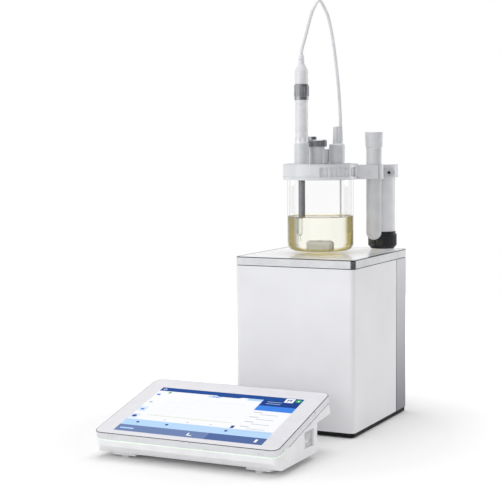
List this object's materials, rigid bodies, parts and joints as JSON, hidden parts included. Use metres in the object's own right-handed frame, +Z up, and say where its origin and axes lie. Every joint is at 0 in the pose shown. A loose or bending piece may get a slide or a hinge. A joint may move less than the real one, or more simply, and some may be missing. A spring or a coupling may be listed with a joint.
{
  "type": "automatic titrator",
  "caption": "Bench titrator: rounded cabinet with magnetic stirrer, swinging stand with glass vessel, electrode and ports, and a separate sloping touch terminal",
  "frame": {"origin": "on the table, in the middle of the floor area that cabinet and terminal take up together", "axes": "+Z up, -Y to the front where the terminal stands, +X to the right as seen from the front"},
  "size_m": [0.207, 0.351, 0.4724],
  "materials": {
    "white_paint": "satin white powder coat",
    "silver_paint": "satin silver-grey paint",
    "polished_metal": "polished",
    "plain_steel": "plain rolled or turned steel",
    "white_plastic": "moulded white, slightly glossy",
    "grey_plastic": "moulded light grey, slightly glossy",
    "shaft_grey": "smooth grey",
    "frosted_plastic": "translucent light grey",
    "black_plastic": "fine matt grain",
    "rubber_black": "plain moulded rubber",
    "white_rubber": "smooth soft jacket",
    "white_seal": "smooth white fluoropolymer",
    "clear_glass": "clear laboratory glass",
    "cover_glass": "flat cover glass, pale printed border",
    "yellow_liquid": "clear pale yellow liquid",
    "display_blue": "lit screen",
    "light_green": "lit pale green light guide",
    "board_green": "solder-masked board"
  },
  "bodies": {
    "cabinet": {"base_plate": "black_plastic", "feet": "rubber_black", "front_cover": "white_paint", "rear_cover": "silver_paint", "cover_seal": "rubber_black", "top_band": "polished_metal", "tray_seal": "rubber_black", "top_tray": "white_plastic", "mount_plate": "plain_steel", "chassis": "plain_steel", "mainboard": "board_green", "board_parts": "black_plastic", "power_board": "board_green", "stirrer_motor": "plain_steel", "socket_panel": "black_plastic", "power_socket": "plain_steel", "data_sockets": "plain_steel", "sensor_sockets": "plain_steel", "cover_screws": "plain_steel", "column_base": "white_plastic", "guide_post": "polished_metal"},
    "magnet_drive": {"magnet_holder": "black_plastic", "drive_magnets": "polished_metal"},
    "lift": {"guide_bush": "white_plastic"},
    "stand": {"column": "grey_plastic", "arm": "grey_plastic", "head_plate": "grey_plastic", "head_seal": "white_seal", "electrode_adapter": "grey_plastic", "electrode_shaft": "shaft_grey", "electrode_tip": "clear_glass", "electrode_head": "white_plastic", "electrode_plug": "white_plastic", "lead_boot": "white_rubber", "electrode_lead": "white_rubber", "gland": "grey_plastic", "lead_insert": "grey_plastic", "dosing_tube": "white_seal"},
    "nut": {"clamp_nut": "black_plastic"},
    "knob": {"clamp_knob": "grey_plastic", "clamp_screw": "black_plastic"},
    "glass": {"vessel": "clear_glass", "sample": "yellow_liquid"},
    "ring": {"locking_ring": "grey_plastic"},
    "bar": {"stir_bar": "white_seal"},
    "cap": {"filling_cap": "black_plastic"},
    "stopper": {"vent_stopper": "black_plastic"},
    "plug": {"blanking_plug": "white_plastic"},
    "collar": {"electrode_collar": "black_plastic"},
    "parked": {"parking_tube": "frosted_plastic"},
    "terminal": {"terminal_frame": "white_plastic", "terminal_glass": "cover_glass", "display_panel": "display_blue", "light_guide": "light_green", "terminal_housing": "white_plastic", "terminal_pads": "rubber_black", "terminal_board": "board_green", "terminal_socket": "grey_plastic", "terminal_screws": "plain_steel"}
  },
  "joints": [
    {"name": "stand_lift", "type": "slide", "parent": "cabinet", "child": "lift", "axis": [0, 0, 1], "range_m": [0, 0.04]},
    {"name": "stand_swing", "type": "hinge", "parent": "lift", "child": "stand", "pos_m": [0.0835, 0.1475, 0.21], "axis": [0, 0, 1], "range_deg": [-60, 60]},
    {"name": "nut_turn", "type": "hinge", "parent": "stand", "child": "nut", "pos_m": [0.0835, 0.1475, 0.202], "axis": [0, 0, 1], "range_deg": [0, 180]},
    {"name": "knob_turn", "type": "hinge", "parent": "stand", "child": "knob", "pos_m": [0.09531, 0.13438, 0.27922], "axis": [0.6691, -0.7431, 0], "range_deg": [0, 180]},
    {"name": "glass_lower", "type": "slide", "parent": "stand", "child": "glass", "axis": [0, 0, 1], "range_m": [-0.003, 0]},
    {"name": "ring_turn", "type": "hinge", "parent": "glass", "child": "ring", "pos_m": [0.0325, 0.0865, 0.2785], "axis": [0, 0, 1], "range_deg": [0, 50]},
    {"name": "magnet_turn", "type": "hinge", "parent": "cabinet", "child": "magnet_drive", "pos_m": [0.0325, 0.0865, 0.18], "axis": [0, 0, 1], "continuous": true},
    {"name": "bar_turn", "type": "hinge", "parent": "glass", "child": "bar", "pos_m": [0.0325, 0.0865, 0.2], "axis": [0, 0, 1], "continuous": true},
    {"name": "cap_turn", "type": "hinge", "parent": "stand", "child": "cap", "pos_m": [0.02926, 0.08492, 0.31], "axis": [0, 0, 1], "range_deg": [0, 270]},
    {"name": "stopper_lift", "type": "slide", "parent": "stand", "child": "stopper", "axis": [0, 0, 1], "range_m": [0, 0.012]},
    {"name": "plug_lift", "type": "slide", "parent": "stand", "child": "plug", "axis": [0, 0, 1], "range_m": [0, 0.012]},
    {"name": "collar_turn", "type": "hinge", "parent": "stand", "child": "collar", "pos_m": [0.01948, 0.06457, 0.3685], "axis": [0, 0, 1], "range_deg": [0, 90]},
    {"name": "tube_lift", "type": "slide", "parent": "stand", "child": "parked", "axis": [0, 0, 1], "range_m": [0, 0.09]},
    {"name": "terminal_slide", "type": "slide", "parent": "cabinet", "child": "terminal", "axis": [0, -1, 0], "range_m": [0, 0.04]}
  ],
  "couplings": [
    {"joint": "bar_turn", "follows": "magnet_turn", "ratio": 1}
  ]
}
